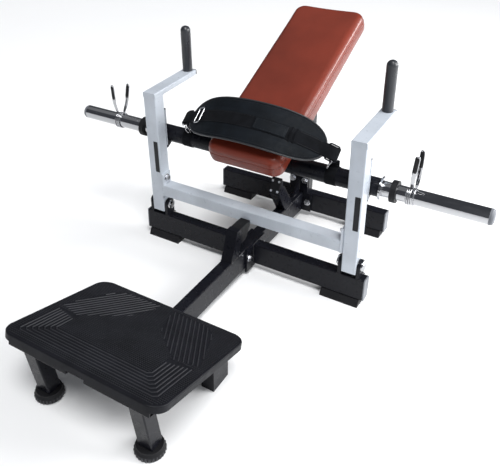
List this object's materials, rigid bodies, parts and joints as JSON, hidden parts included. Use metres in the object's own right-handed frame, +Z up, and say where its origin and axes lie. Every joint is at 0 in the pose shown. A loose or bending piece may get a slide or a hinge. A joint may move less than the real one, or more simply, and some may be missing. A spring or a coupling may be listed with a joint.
{
  "type": "hip thrust machine",
  "caption": "Plate-loaded hip thrust machine with a swinging lever, hip bar, sloping pad, padded belt and foot platform.",
  "frame": {"origin": "on the floor under the middle of the whole machine", "axes": "+X to the user's left-hand side along the plate sleeves, +Y from the foot platform towards the head end of the pad, +Z up"},
  "size_m": [1.526, 1.5108, 0.7972],
  "materials": {
    "black_frame": "satin black powder coat",
    "silver_lever": "silver-grey powder coat",
    "chrome": "polished chrome",
    "zinc": "zinc plated",
    "rubber_black": "matt black rubber",
    "plastic_black": "moulded black plastic",
    "plastic_grey": "moulded dark grey plastic",
    "foam_grip": "textured black grip",
    "pad_vinyl": "reddish-brown upholstery vinyl",
    "plywood": "plywood board",
    "belt_leather": "navy-black padded belt leather",
    "webbing": "black woven webbing",
    "plate_rubber": "ribbed black rubber tread",
    "bronze": "sintered bronze"
  },
  "bodies": {
    "root": {"spine_beam": "black_frame", "front_beam_left": "black_frame", "front_beam_right": "black_frame", "rear_beam": "black_frame", "rear_joint_plate": "black_frame", "frame_bolts": "zinc", "beam_end_caps": "plastic_grey", "beam_feet": "rubber_black", "front_stop_post": "black_frame", "front_stop_buffer": "rubber_black", "rear_stop_post": "black_frame", "rear_stop_strip": "rubber_black", "rear_post_cover": "plastic_black", "rear_post_screws": "zinc", "pivot_ears": "black_frame", "pivot_pins": "chrome", "pad_post": "black_frame", "post_gusset": "black_frame", "pad_rail": "black_frame", "pad_straps": "black_frame", "pad_bolts": "zinc", "pad_board": "plywood", "pad_cushion": "pad_vinyl", "hip_belt": "belt_leather", "belt_links": "black_frame", "platform_plate": "plate_rubber", "platform_crossbar": "black_frame", "platform_rails": "black_frame", "platform_front_bars": "black_frame", "platform_screws": "zinc", "platform_leg_left": "black_frame", "platform_leg_right": "black_frame", "leg_shoes": "rubber_black", "platform_channels": "black_frame", "platform_saddle": "black_frame"},
    "lever": {"lever_upright_left": "silver_lever", "lever_upright_right": "silver_lever", "pivot_bushes": "bronze", "lever_arm_left": "silver_lever", "lever_arm_right": "silver_lever", "hand_grips": "foam_grip", "arm_end_caps": "plastic_black", "lever_cross_tube": "silver_lever", "cross_tube_bolts": "zinc", "hip_bar": "black_frame", "bar_brackets": "black_frame", "sleeve_left": "chrome", "sleeve_right": "chrome", "sleeve_rings": "rubber_black", "sleeve_end_caps": "plastic_grey", "belt_anchors": "webbing"},
    "collar_right": {"collar_right_coil": "chrome", "collar_right_coil_grip": "plastic_black"},
    "collar_right_clamp": {"collar_right_clamp": "chrome", "collar_right_clamp_grip": "plastic_black"},
    "collar_left": {"collar_left_coil": "chrome", "collar_left_coil_grip": "plastic_black"},
    "collar_left_clamp": {"collar_left_clamp": "chrome", "collar_left_clamp_grip": "plastic_black"}
  },
  "joints": [
    {"name": "lever_swing", "type": "hinge", "parent": "root", "child": "lever", "pos_m": [0, 0.12808, 0.145], "axis": [-1, 0, 0], "range_deg": [0, 64.3]},
    {"name": "collar_right_slide", "type": "slide", "parent": "lever", "child": "collar_right", "axis": [1, 0, 0], "range_m": [-0.024, 0.2]},
    {"name": "collar_left_slide", "type": "slide", "parent": "lever", "child": "collar_left", "axis": [-1, 0, 0], "range_m": [-0.088, 0.138]},
    {"name": "collar_right_squeeze", "type": "hinge", "parent": "collar_right", "child": "collar_right_clamp", "pos_m": [0.534, 0.17633, 0.41536], "axis": [1, 0, 0], "range_deg": [0, 10]},
    {"name": "collar_left_squeeze", "type": "hinge", "parent": "collar_left", "child": "collar_left_clamp", "pos_m": [-0.598, 0.17633, 0.41536], "axis": [-1, 0, 0], "range_deg": [0, 10]}
  ]
}
